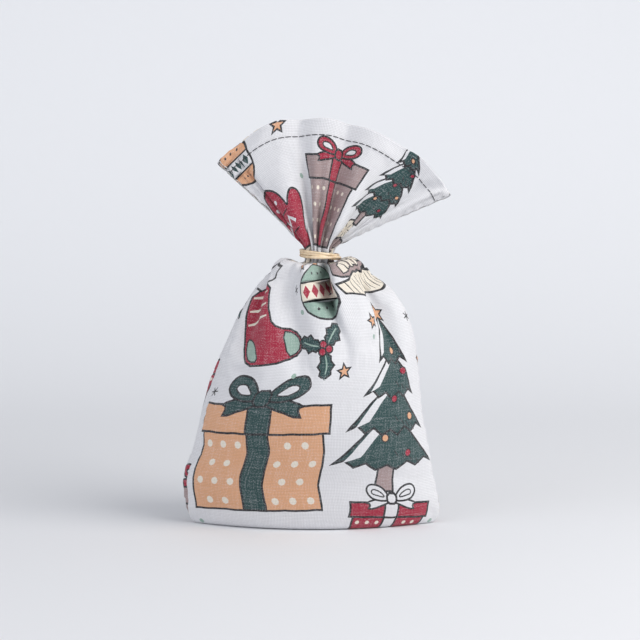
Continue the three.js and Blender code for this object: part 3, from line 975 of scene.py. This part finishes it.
def cotton_panel(name, side, shift, material):
    """A printed panel with both faces of its cloth."""
    cloth = settings().cloth
    width, body, collar, hem, room = in_mm(cloth, "width", "body", "collar", "hem", "hem_room")
    half = cloth.thickness / MM / 2
    fold = room / 2
    height = body + collar + hem - fold + math.pi * fold
    flat, triangles, ink = inked_cut(width, height, shift)
    middle, facing, _ = cloth_frame(side, flat[:, 0], flat[:, 1])
    count = len(flat)
    points = np.concatenate([middle + facing * half, middle - facing * half])
    if side > 0:
        triangles = triangles[:, ::-1]
    rim = [(b, a, a + count, b + count) for a, b in border(triangles)]
    faces = [*triangles, *(triangles[:, ::-1] + count), *rim]
    piece = made_mesh(name, points, faces, material, np.concatenate([facing, -facing]))
    inks = {key: np.array(getattr(settings().colours, key)) for key in {*ink, "white"}}
    right = np.array([inks[key] for key in ink])
    wrong = inks["white"] + (right - inks["white"]) * SHOW_THROUGH
    shades = np.concatenate([
        np.repeat(right, 3, 0), np.repeat(wrong, 3, 0), np.tile(inks["white"], (4 * len(rim), 1))])
    shades = np.concatenate([shades, np.ones((len(shades), 1))], 1)
    layer = piece.data.color_attributes.new("ink", "FLOAT_COLOR", "CORNER")
    layer.data.foreach_set("color", shades.ravel())
    flat = flat + (MAP_MARGIN, MAP_MARGIN / 2)
    beside = (width + 2 * MAP_MARGIN, 0)
    add_map(piece.data, "cut cloth", np.concatenate([flat, flat + beside]) / (CLOTH_MAP / MM))
    return piece, (cloth.width, height * MM)


def ring_faces(count, sides, endless=False):
    """The faces between rings of points."""
    return [(i * sides + j, i * sides + (j + 1) % sides,
             (i + 1) % count * sides + (j + 1) % sides, (i + 1) % count * sides + j)
            for i in range(count if endless else count - 1) for j in range(sides)]


def tube(path, facing, half_wide, half_high, sides, endless=False):
    """Rings of points along a path, and their faces. facing turns each ring."""
    if endless:
        ahead = unit(np.roll(path, -1, 0) - np.roll(path, 1, 0))
    else:
        ahead = unit(np.gradient(path, axis=0))
    up = unit(np.cross(ahead, facing))
    out = np.cross(up, ahead)
    angle = np.linspace(0, 2 * math.pi, sides, endpoint=False)[:, None]
    rings = path[:, None] + (out[:, None] * np.cos(angle) * half_wide
                             + up[:, None] * np.sin(angle) * half_high)
    faces = ring_faces(len(path), sides, endless)
    if not endless:
        last = (len(path) - 1) * sides
        faces += [tuple(range(sides))[::-1], tuple(last + j for j in range(sides))]
    return rings.reshape(-1, 3), faces


def stitch_row(places, facings):
    """Separate stitches along a row of places: each dips into the cloth at both ends."""
    pitch, gap, thread = in_mm(settings().stitches, "pitch", "gap", "thread")
    half = thread / 2
    run = run_length(places)
    count = max(1, int(run[-1] // pitch))
    pitch = run[-1] / count
    share = np.linspace(0, 1, 9)
    rise = half * (0.75 - 1.9 * np.abs(2 * share - 1) ** 5)
    points, faces = [], []
    for k in range(count):
        at = pitch * k + gap / 2 + share * (pitch - gap)
        path, out = (np.stack([np.interp(at, run, row[:, c]) for c in range(3)], 1)
                     for row in (places, facings))
        rings, sides = tube(path + out * rise[:, None], out, half, half, 8)
        faces += [tuple(k * len(rings) + corner for corner in face) for face in sides]
        points.append(rings)
    return np.concatenate(points), faces


# Materials

# Real sizes of the patterns, in millimetres
TWIST, FLUFF = 0.242, 0.25  # between the lines of a thread's twist, and of its loose fibres
RUBBER_LINES = np.array((3.85, 3.85, 0.263))  # long along the strands, and close across them
RUBBER_FLECK = 2.38
BUD, DUST = 2.38, 1.11  # across the flowers' buds, and their crumbs


def per_metre(size):
    """How often a size in millimetres goes into a metre, which is a pattern's scale."""
    return 1 / (size * MM)


def add(tree, kind, inputs=None, **choices):
    """Adds a shader node with its settings, values and links."""
    made = tree.nodes.new("ShaderNode" + kind)
    for key, value in choices.items():
        setattr(made, key, value)
    for key, value in (inputs or {}).items():
        if isinstance(value, bpy.types.Node):
            value = value.outputs[0]
        if isinstance(value, bpy.types.NodeSocket):
            tree.links.new(value, made.inputs[key])
        else:
            made.inputs[key].default_value = value
    return made


def new_material(name):
    """An empty material and its node tree."""
    material = bpy.data.materials.new(name)
    material.use_nodes = True
    material.node_tree.nodes.clear()
    return material, material.node_tree


def finish_material(tree, inputs, bump=None, depth=0.0001, strength=1.0):
    """Joins colours and a bump height to a Principled BSDF and the output."""
    if bump is not None:
        height = {"Height": bump, "Distance": depth, "Strength": strength}
        inputs["Normal"] = add(tree, "Bump", height)
    add(tree, "OutputMaterial", {"Surface": add(tree, "BsdfPrincipled", inputs)})


def printed_cotton():
    """Plain-weave cotton, bleached and screen printed: matt, with a fine crossing of uneven
    threads that shows through the inks, and a faint soft edge of loose fibres."""
    material, tree = new_material("screen printed plain-weave cotton")
    threads = CLOTH_MAP / settings().cloth.thread_spacing
    place = add(tree, "UVMap", uv_map="cut cloth")
    count = add(tree, "VectorMath", {0: place, 1: (threads, threads, 0)}, operation="MULTIPLY")
    parts = add(tree, "SeparateXYZ", {0: count})
    waves = []
    for k in (0, 1):
        turn = add(tree, "Math", {0: parts.outputs[k], 1: math.pi}, operation="MULTIPLY")
        waves.append(add(tree, "Math", {0: turn}, operation="SINE"))
    # Which thread lies on top, and the round back of each thread
    over = add(tree, "Math", {0: waves[0], 1: waves[1]}, operation="MULTIPLY")
    over = add(tree, "MapRange", {"Value": over, "From Min": -0.5, "From Max": 0.5})
    rounds = [add(tree, "Math", {0: wave}, operation="ABSOLUTE") for wave in waves]
    weave = add(tree, "Mix", {0: over, 2: rounds[1], 3: rounds[0]})
    # Threads that are thick and thin along their length, each over about 15 threads
    slubs = []
    for stretch in ((0.07, 1.0, 1.0), (1.0, 0.07, 1.0)):
        long = add(tree, "VectorMath", {0: count, 1: stretch}, operation="MULTIPLY")
        slubs.append(add(tree, "TexNoise", {"Vector": long, "Scale": 0.9, "Detail": 1.0}))
    slub = add(tree, "Mix", {0: over, 2: slubs[0].outputs[0], 3: slubs[1].outputs[0]})
    # The gaps between threads are painted darker, as shade, and the cloth is uneven by the thread
    # and over 30 threads
    light = add(tree, "Math", {0: weave, 1: 0.36, 2: 0.72}, operation="MULTIPLY_ADD")
    soft = add(tree, "TexNoise", {"Vector": count, "Scale": 0.035, "Detail": 2.0})
    for value, darkest, palest in ((slub, 0.95, 1.04), (soft, 0.975, 1.01)):
        uneven = add(tree, "MapRange", {"Value": value, "From Min": 0.3, "From Max": 0.7,
                                        "To Min": darkest, "To Max": palest})
        light = add(tree, "Math", {0: light, 1: uneven}, operation="MULTIPLY")
    # Specks under a thread wide, where the ink is worn off the thick places
    ink = add(tree, "Attribute", attribute_name="ink")
    speck = add(tree, "TexNoise", {"Vector": count, "Scale": 1.25, "Detail": 1.0})
    thick = add(tree, "Math", {0: slub, 1: speck}, operation="ADD")
    bare = add(tree, "MapRange", {"Value": thick, "From Min": 0.98, "From Max": 1.3,
                                  "To Min": 0, "To Max": 0.24})
    white = (*settings().colours.white, 1)
    worn = add(tree, "Mix", {0: bare, 6: ink.outputs[0], 7: white}, data_type="RGBA")
    # The colour carries the weave's painted shade and the cloth's uneven tone
    shaded = add(tree, "VectorMath", {0: worn.outputs[2], "Scale": light}, operation="SCALE")
    high = add(tree, "Math", {0: slub, 1: 0.6, 2: weave}, operation="MULTIPLY_ADD")
    finish_material(tree, {
        "Base Color": shaded, "Roughness": 0.88, "Specular IOR Level": 0.3,
        "Sheen Weight": 0.12, "Sheen Roughness": 0.6,
    }, high, 0.00014, 0.5)
    return material


def sewing_thread(name, shade):
    """Spun cotton sewing thread: matt, with the slanting lines of its twist."""
    material, tree = new_material(name)
    place = add(tree, "TexCoord").outputs["Object"]
    slanted = add(tree, "Mapping", {"Vector": place, "Rotation": (0.5, 0.6, 0.7)})
    # At a scale of 1, the wave repeats each time that x + y + z grows by 2 pi / 10
    lines = 2 * math.pi / 10 / math.sqrt(3) * per_metre(TWIST)
    twist = add(tree, "TexWave", {"Vector": slanted, "Scale": lines, "Distortion": 1.5},
                bands_direction="DIAGONAL")
    fluff = add(tree, "TexNoise", {"Vector": place, "Scale": per_metre(FLUFF), "Detail": 2.0})
    # Painted shade in the twist's grooves and painted highlight on its ridges, by the wave that is
    # also the bump
    level = add(tree, "MapRange", {"Value": twist.outputs["Fac"], "To Min": 0.75, "To Max": 1.15})
    shaded = add(tree, "VectorMath", {0: tuple(shade), "Scale": level}, operation="SCALE")
    high = add(tree, "Math", {0: twist.outputs["Fac"], 1: fluff.outputs[0]}, operation="ADD")
    finish_material(tree, {"Base Color": shaded, "Roughness": 0.8, "Sheen Weight": 0.2},
                    high, 0.00006, 0.6)
    return material


def natural_rubber():
    """Uncoloured natural rubber, cut from a tube and stretched: satin, a little see-through, with
    fine lines along each strand and paler flecks where it is drawn thin."""
    material, tree = new_material("stretched natural rubber")
    place = add(tree, "TexCoord").outputs["Object"]
    drawn = add(tree, "Mapping", {"Vector": place, "Scale": tuple(per_metre(RUBBER_LINES))})
    lines = add(tree, "TexNoise", {"Vector": drawn, "Scale": 1.0, "Detail": 4.0, "Roughness": 0.65})
    flecks = add(tree, "TexNoise",
                 {"Vector": place, "Scale": per_metre(RUBBER_FLECK), "Detail": 3.0})
    both = add(tree, "Math", {0: lines.outputs[0], 1: flecks.outputs[0]}, operation="ADD")
    level = add(tree, "MapRange", {"Value": both, "From Min": 0.7, "From Max": 1.3})
    rubber = np.array(settings().colours.rubber)
    ramp = add(tree, "ValToRGB", {0: level})
    ramp.color_ramp.elements[0].color = (*(rubber * (0.62, 0.5, 0.42)), 1)
    ramp.color_ramp.elements[1].color = (*np.minimum(rubber * (1.15, 1.2, 1.3), 1), 1)
    ramp.color_ramp.elements.new(0.5).color = (*rubber, 1)
    finish_material(tree, {
        "Base Color": ramp, "Roughness": 0.42, "IOR": 1.52, "Subsurface Weight": 0.15,
        "Subsurface Radius": (0.0012, 0.0008, 0.0005),
    }, lines.outputs[0], 0.00012, 0.5)
    return material


def dried_flowers():
    """Dried lavender: matt, grey violet buds with straw coloured ones among them."""
    material, tree = new_material("dried lavender flowers")
    place = add(tree, "TexCoord").outputs["Object"]
    buds = add(tree, "TexVoronoi", {"Vector": place, "Scale": per_metre(BUD), "Randomness": 1.0})
    dust = add(tree, "TexNoise", {"Vector": place, "Scale": per_metre(DUST), "Detail": 3.0})
    flower = np.array(settings().colours.flowers)
    ramp = add(tree, "ValToRGB", {0: add(tree, "SeparateColor", {0: buds.outputs["Color"]})})
    ramp.color_ramp.elements[0].color = (*(flower * 0.6), 1)
    ramp.color_ramp.elements[1].color = (*(flower * (1.5, 1.25, 0.85)), 1)
    level = add(tree, "MapRange", {"Value": dust.outputs[0], "To Min": 0.75, "To Max": 1.2})
    shaded = add(tree, "VectorMath", {0: ramp, "Scale": level}, operation="SCALE")
    finish_material(tree, {"Base Color": shaded, "Roughness": 0.95},
                    buds.outputs["Distance"], 0.0006, 0.8)
    return material


def matt_paper(stage):
    """Plain pale paper without gloss. The camera sees it paler behind the pouch."""
    material, tree = new_material("matt paper sweep")
    parts = add(tree, "SeparateXYZ", {0: add(tree, "TexCoord").outputs["Object"]})
    behind = add(tree, "MapRange", {"Value": parts.outputs[1], "From Min": 0.05, "From Max": 0.9},
                 interpolation_type="SMOOTHSTEP")
    camera = add(tree, "LightPath").outputs["Is Camera Ray"]
    seen = add(tree, "Math", {0: behind, 1: camera}, operation="MULTIPLY")
    glow = add(tree, "Math", {0: seen, 1: stage.backdrop_glow}, operation="MULTIPLY")
    finish_material(tree, {
        "Base Color": (*stage.floor, 1), "Roughness": 0.9, "Specular IOR Level": 0.1,
        "Emission Color": (*linear("#eef1f6"), 1), "Emission Strength": glow,
    })
    return material


# Pieces

class PouchOperator(Operator):
    """What the operators share."""

    bl_options = {"REGISTER", "UNDO"}


class POUCH_OT_cloth(PouchOperator):
    """Sew the two printed panels and gather them at the neck."""

    bl_idname = "pouch.cloth"
    bl_label = "Printed Cloth"

    def execute(self, context):
        cotton = printed_cotton()
        for name, side, shift, nodes in (
            ("front_cloth", -1, (0, 0), ("front_panel", "front_collar")),
            ("back_cloth", 1, (-70, 60), ("back_panel", "back_collar")),
        ):
            piece, flat = cotton_panel(name, side, shift, cotton)
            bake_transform(piece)
            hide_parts(*nodes)
        return {"FINISHED"}


class POUCH_OT_stitches(PouchOperator):
    """Sew the hem and the side and bottom seams."""

    bl_idname = "pouch.stitches"
    bl_label = "Stitches"

    def execute(self, context):
        cloth, colours = settings().cloth, settings().colours
        width, body, collar, hem = in_mm(cloth, "width", "body", "collar", "hem")
        top = body + collar
        half = cloth.thickness / MM / 2
        dark = sewing_thread("dark spun thread", colours.hem_thread)
        pale = sewing_thread("pale spun thread", colours.seam_thread)
        x = np.linspace(1.0, width - 1.0, 500)
        for name, side in (("front_hem_stitches", -1), ("back_hem_stitches", 1)):
            point, facing, _ = cloth_frame(side, x, np.full_like(x, top - hem + 0.6))
            row = stitch_row(point + facing * half, facing)
            self.place(name, row, dark, "collar", "hem_thread")
        for seam, low, high, rider in (
            ("seam_stitches", 4, body - 5, "bag"),
            ("collar_seam_stitches", body + 6, top - 2, "collar"),
        ):
            up = np.linspace(low, high, 600)
            for side, x in (("left", 0.0), ("right", width)):
                (front, ahead, _), (back, behind, _) = (
                    cloth_frame(k, np.full_like(up, x), up) for k in (-1, 1))
                out = unit(ahead + behind, 1e-6)
                row = stitch_row((front + back) / 2 - out * 0.1, out)
                self.place(f"{side}_{seam}", row, pale, rider, "seam_thread")
        x = np.linspace(6, width - 6, 400)
        point, _, _ = cloth_frame(-1, x, np.zeros_like(x))
        point[:, 1:] = 0, 1
        row = stitch_row(point, np.tile((0.0, 0.0, 1.0), (len(x), 1)))
        self.place("bottom_seam_stitches", row, pale, "bag", "seam_thread")
        return {"FINISHED"}

    @staticmethod
    def place(name, row, material, rider, slot):
        """Each row of stitches stands for the node of its thread."""
        piece = made_mesh(name, *row, material)
        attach(piece, rider)
        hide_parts(name.replace("stitches", "thread"))


class POUCH_OT_band(PouchOperator):
    """Wind the rubber band round the neck."""

    bl_idname = "pouch.band"
    bl_label = "Rubber Band"

    def execute(self, context):
        band, cloth = settings().band, settings().cloth
        wide, high = band.strand_depth / MM / 2, band.strand_height / MM / 2
        turns, crossing = band.turns, 0.16  # the share of the strand that crosses over behind
        steps = turns * 96
        s = np.arange(steps) / steps
        round_by = 2 * math.pi * turns * (s + crossing / 2)
        angle = round_by + math.pi / 2
        # It winds down turn by turn, and climbs back up over the other turns behind
        down = 1 - crossing
        back = (s - down) / crossing
        height = np.where(s < down, 1 - 2 * s / down, 2 * smooth(back, 0.15, 0.85) - 1)
        over = smooth(back, 0, 0.3) * (1 - smooth(back, 0.7, 1))
        pitch = 2 * high * 0.95
        # In front on the right the first turn sags, and the last one climbs over the middle one
        places = (248, 52), (608, 52), (960, 52), (960, 78)
        sag, dip, climb, lift = (hump(round_by, *np.radians(place)) for place in places)
        middle = np.sin(math.pi * s) ** 2
        radius = (cloth.neck + cloth.thickness / 2) / MM + wide + 0.05
        radius = radius + wide * np.maximum(over * 1.9, lift * 1.6)
        radius = radius + 0.08 * np.sin(angle * 2.3 + 1) * middle
        x, y = radius * np.cos(angle), radius * np.sin(angle)
        wander = 0.14 * np.sin(angle * 1.37) * middle - 0.4 * sag - 0.75 * dip + 1.0 * climb
        z = height * pitch * turns * down / 2 + wander - x * math.tan(band.tilt)
        path = np.stack([x + cloth.lean / MM, y, z + NECK_HEIGHT], 1)
        out = np.stack([np.cos(angle), np.sin(angle), 0 * angle], 1)
        rings = tube(path, out, wide, high, 14, endless=True)
        piece = made_mesh("rubber_band_strands", *rings, natural_rubber())
        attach(piece, "band")
        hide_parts("rubber_band")
        return {"FINISHED"}


class POUCH_OT_filling(PouchOperator):
    """Fill the bag with dried flowers."""

    bl_idname = "pouch.filling"
    bl_label = "Dried Flowers"

    def execute(self, context):
        net, heights = finished_net()
        low, high = 3, 97  # from the bottom seam along the cloth, and up from the floor
        rows = np.flatnonzero((heights > low) & (net[0, :, net.shape[2] // 2, 2] < high))[::2]
        rings = []
        for i in rows:
            soft = net[:, max(i - 6, 0):i + 7].mean(1)
            ring = np.concatenate([soft[0], soft[1][::-1][1:-1]])
            for _ in range(30):
                ring = (np.roll(ring, 1, 0) + ring * 2 + np.roll(ring, -1, 0)) / 4
            middle = ring.mean(0)
            size = np.hypot(ring[:, 0] - middle[0], ring[:, 1] - middle[1])
            inset = 3.5 + 4 * smooth(ring[:, 2].mean(), 70, high)
            share = np.maximum(1 - inset / np.maximum(size, 1), 0.3)[:, None]
            rings.append(middle + (ring - middle) * share)
        rings = np.array(rings)
        rings[0, :, 2] = np.maximum(rings[0, :, 2], 1.6)
        for ring in rings:
            out = unit(ring[:, :2] - ring[:, :2].mean(0), 1)
            lumps = [noise.noise(Vector(p) * 0.35) * 0.5 + noise.noise(Vector(p) * 0.11) * 0.8
                     for p in ring]
            ring[:, :2] += out * np.array(lumps)[:, None]
        count, sides = rings.shape[:2]
        faces = ring_faces(count, sides)
        start, tip = (count - 1) * sides, count * sides
        around = [(j, (j + 1) % sides) for j in range(sides)]
        faces += [(tip, b, a) for a, b in around]
        faces += [(start + a, start + b, tip + 1) for a, b in around]
        ends = [rings[0].mean(0), rings[-1].mean(0) + (0, 0, 2.5)]
        points = np.concatenate([rings.reshape(-1, 3), ends])
        piece = made_mesh("dried_flowers", points, faces, dried_flowers())
        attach(piece, "bag")
        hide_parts("filling")
        return {"FINISHED"}


class POUCH_OT_stage(PouchOperator):
    """Make the floor, the lamps and the camera."""

    bl_idname = "pouch.stage"
    bl_label = "Stage"

    def execute(self, context):
        scene, stage = context.scene, settings().stage
        scene.view_settings.view_transform = "Standard"
        self.sweep(stage)
        world = bpy.data.worlds.new("soft room light")
        world.use_nodes = True
        light = world.node_tree.nodes["Background"].inputs
        light["Color"].default_value = (*linear("#f1f3f7"), 1)
        light["Strength"].default_value = 0.66
        scene.world = world
        self.lamp("window", (0.62, -0.38, 0.62), 0.7, 5.7, "#fffdfa")
        self.lamp("fill", (-0.75, -0.6, 0.45), 0.9, 1.9, "#f4f6ff")
        camera = bpy.data.cameras.new("camera")
        camera.lens = camera.sensor_width * stage.distance / stage.view_width
        seat = bpy.data.objects.new("camera", camera)
        scene.collection.objects.link(seat)
        aim = Vector((0.0018, 0, stage.view_middle))
        back = Vector((0, -math.cos(stage.elevation), math.sin(stage.elevation)))
        seat.location = aim + stage.distance * back
        seat.rotation_euler = (math.pi / 2 - stage.elevation, 0, 0)
        scene.camera = seat
        return {"FINISHED"}

    @staticmethod
    def sweep(stage):
        """A floor that curves up into a backdrop, in metres."""
        half_wide, front, back, bend, high = 1.6, -1.6, 0.35, 0.7, 2.4
        profile = [(front, 0.0), (back, 0.0)]
        profile += [(back + bend * math.sin(a), bend - bend * math.cos(a))
                    for a in np.linspace(0, math.pi / 2, 25)[1:]]
        profile.append((back + bend, high))
        points = [(x, y, z) for x in (-half_wide, half_wide) for y, z in profile]
        count = len(profile)
        faces = [(j, count + j, count + j + 1, j + 1) for j in range(count - 1)]
        sheet = made_mesh("paper_sweep", np.array(points) / MM, faces, matt_paper(stage))

    @staticmethod
    def lamp(name, place, size, power, code):
        """A round soft lamp that the camera doesn't see."""
        lamp = bpy.data.lights.new(name, "AREA")
        lamp.shape = "DISK"
        lamp.size = size
        lamp.energy = power
        lamp.color = linear(code)
        holder = bpy.data.objects.new(name, lamp)
        holder.location = place
        holder.visible_camera = False
        way = Vector((0, 0, 0.08)) - holder.location
        holder.rotation_euler = way.to_track_quat("-Z", "Y").to_euler()
        bpy.context.scene.collection.objects.link(holder)


PIECES = (POUCH_OT_cloth, POUCH_OT_stitches, POUCH_OT_band, POUCH_OT_filling, POUCH_OT_stage)


class POUCH_PT_sidebar(Panel):
    """Sizes, colours and pieces of the pouch."""

    bl_idname = "POUCH_PT_sidebar"
    bl_label = "Cotton Pouch"
    bl_space_type = "VIEW_3D"
    bl_region_type = "UI"
    bl_category = "Pouch"

    def draw(self, context):
        for title in ("cloth", "stitches", "band", "colours", "stage"):
            group = getattr(context.scene.pouch, title)
            box = self.layout.box()
            box.label(text=title.capitalize())
            for key in group.__annotations__:
                box.prop(group, key)
        for piece in PIECES:
            self.layout.operator(piece.bl_idname)


CLASSES = (
    PouchClothSizes, PouchStitchSizes, PouchBandSizes, PouchColours, PouchStage, PouchSettings,
    *PIECES, POUCH_PT_sidebar,
)


def register():
    for item in CLASSES:
        bpy.utils.register_class(item)
    bpy.types.Scene.pouch = PointerProperty(type=PouchSettings)


def unregister():
    del bpy.types.Scene.pouch
    for item in reversed(CLASSES):
        bpy.utils.unregister_class(item)


def main():
    register()
    for piece in PIECES:
        group, name = piece.bl_idname.split(".")
        getattr(getattr(bpy.ops, group), name)()


if __name__ == "__main__":
    main()
